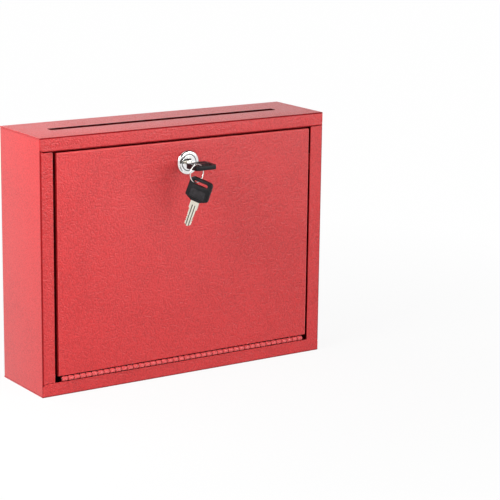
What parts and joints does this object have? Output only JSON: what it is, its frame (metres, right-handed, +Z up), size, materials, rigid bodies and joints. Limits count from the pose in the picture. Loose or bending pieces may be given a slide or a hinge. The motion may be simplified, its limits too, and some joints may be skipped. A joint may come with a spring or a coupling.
{
  "type": "drop box",
  "caption": "Wall-mounted sheet-steel drop box with a slotted top, a locking drop-down front door on a piano hinge, and keys on a ring.",
  "frame": {"origin": "middle of the box's underside", "axes": "+Z up, -Y out of the door, +Y into the wall, +X to the right when facing the door"},
  "size_m": [0.31, 0.1242, 0.2413],
  "materials": {
    "red_powder_coat": "pebbled satin powder coat",
    "chrome": "polished",
    "zinc_plated_steel": "zinc plated",
    "brass": "stamped",
    "nickel_silver": "satin nickel",
    "black_plastic": "satin"
  },
  "bodies": {
    "cabinet": {"cabinet_shell": "red_powder_coat", "top_panel": "red_powder_coat", "bottom_panel": "red_powder_coat", "door_stop_left": "red_powder_coat", "door_stop_right": "red_powder_coat", "hinge_body_leaf": "red_powder_coat", "hinge_pin": "zinc_plated_steel"},
    "door": {"door_panel": "red_powder_coat", "hinge_door_leaf": "red_powder_coat", "lock_housing": "chrome", "lock_nut": "zinc_plated_steel", "nut_washer": "zinc_plated_steel"},
    "plug": {"lock_plug": "chrome", "lock_cam": "zinc_plated_steel", "cam_washer": "zinc_plated_steel", "cam_screw": "zinc_plated_steel", "wafer_1": "brass", "wafer_2": "brass", "wafer_3": "brass", "wafer_4": "brass", "wafer_5": "brass"},
    "key": {"key_blade": "nickel_silver", "key_bow": "black_plastic"},
    "ring": {"key_ring": "zinc_plated_steel"},
    "spare_key": {"spare_key_blade": "nickel_silver", "spare_key_bow": "black_plastic"}
  },
  "joints": [
    {"name": "door_hinge", "type": "hinge", "parent": "cabinet", "child": "door", "pos_m": [0, -0.03995, 0.0158], "axis": [1, 0, 0], "range_deg": [0, 180]},
    {"name": "lock_turn", "type": "hinge", "parent": "door", "child": "plug", "pos_m": [-0.0007, -0.03975, 0.206], "axis": [0, -1, 0], "range_deg": [0, 90]},
    {"name": "key_slide", "type": "slide", "parent": "plug", "child": "key", "axis": [0, -1, 0], "range_m": [0, 0.018]},
    {"name": "ring_swing", "type": "hinge", "parent": "key", "child": "ring", "pos_m": [-0.00983, -0.07075, 0.206], "axis": [-0.2079, 0.9781, 0], "range_deg": [-15, 80]},
    {"name": "spare_key_swing", "type": "hinge", "parent": "ring", "child": "spare_key", "pos_m": [-0.00983, -0.07075, 0.193], "axis": [0.9781, 0.2079, 0], "range_deg": [-50, 25]}
  ]
}
